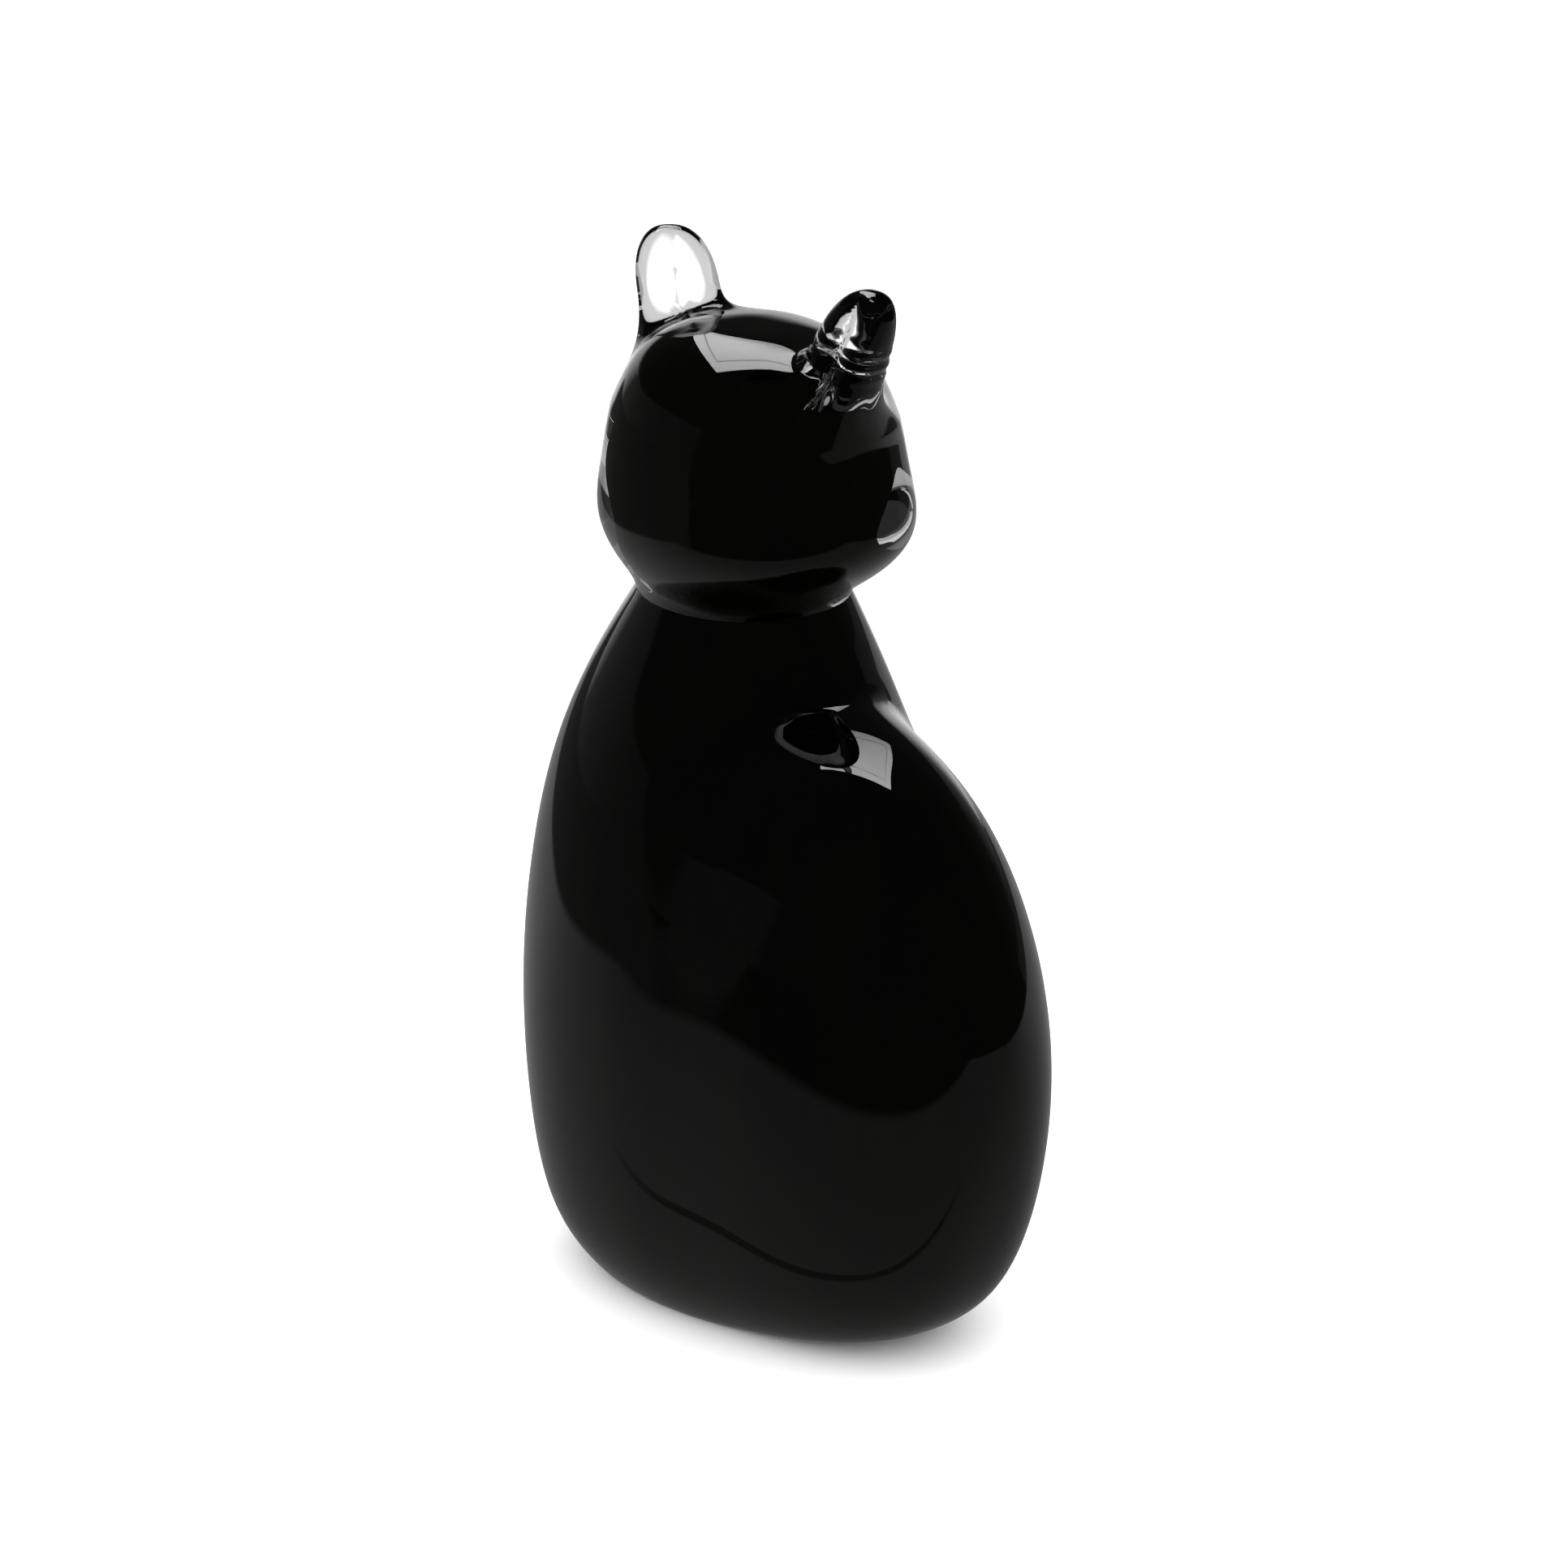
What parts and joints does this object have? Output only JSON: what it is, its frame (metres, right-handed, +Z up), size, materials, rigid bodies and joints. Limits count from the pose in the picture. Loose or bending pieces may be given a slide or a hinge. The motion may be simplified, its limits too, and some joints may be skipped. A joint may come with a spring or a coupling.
{
  "type": "cased glass cat figurine",
  "caption": "Seated cat figurine in cased art glass: near-black core under a clear casing, jacked neck, rounded head with clear pinched ears, flat ground base.",
  "frame": {"origin": "on the ground face of the base, under the axis of the neck", "axes": "+Z up through the neck, +X along the broad side from the chest to the haunch, Y across the thickness"},
  "size_m": [0.1119, 0.0748, 0.1892],
  "materials": {
    "dark_glass": "fire-polished near-black green glass",
    "clear_glass": "fire-polished clear glass"
  },
  "bodies": {
    "root": {"body_core": "dark_glass", "body_casing": "clear_glass", "head_core": "dark_glass", "head_casing": "clear_glass", "ear_left": "clear_glass", "ear_right": "clear_glass"}
  },
  "joints": []
}
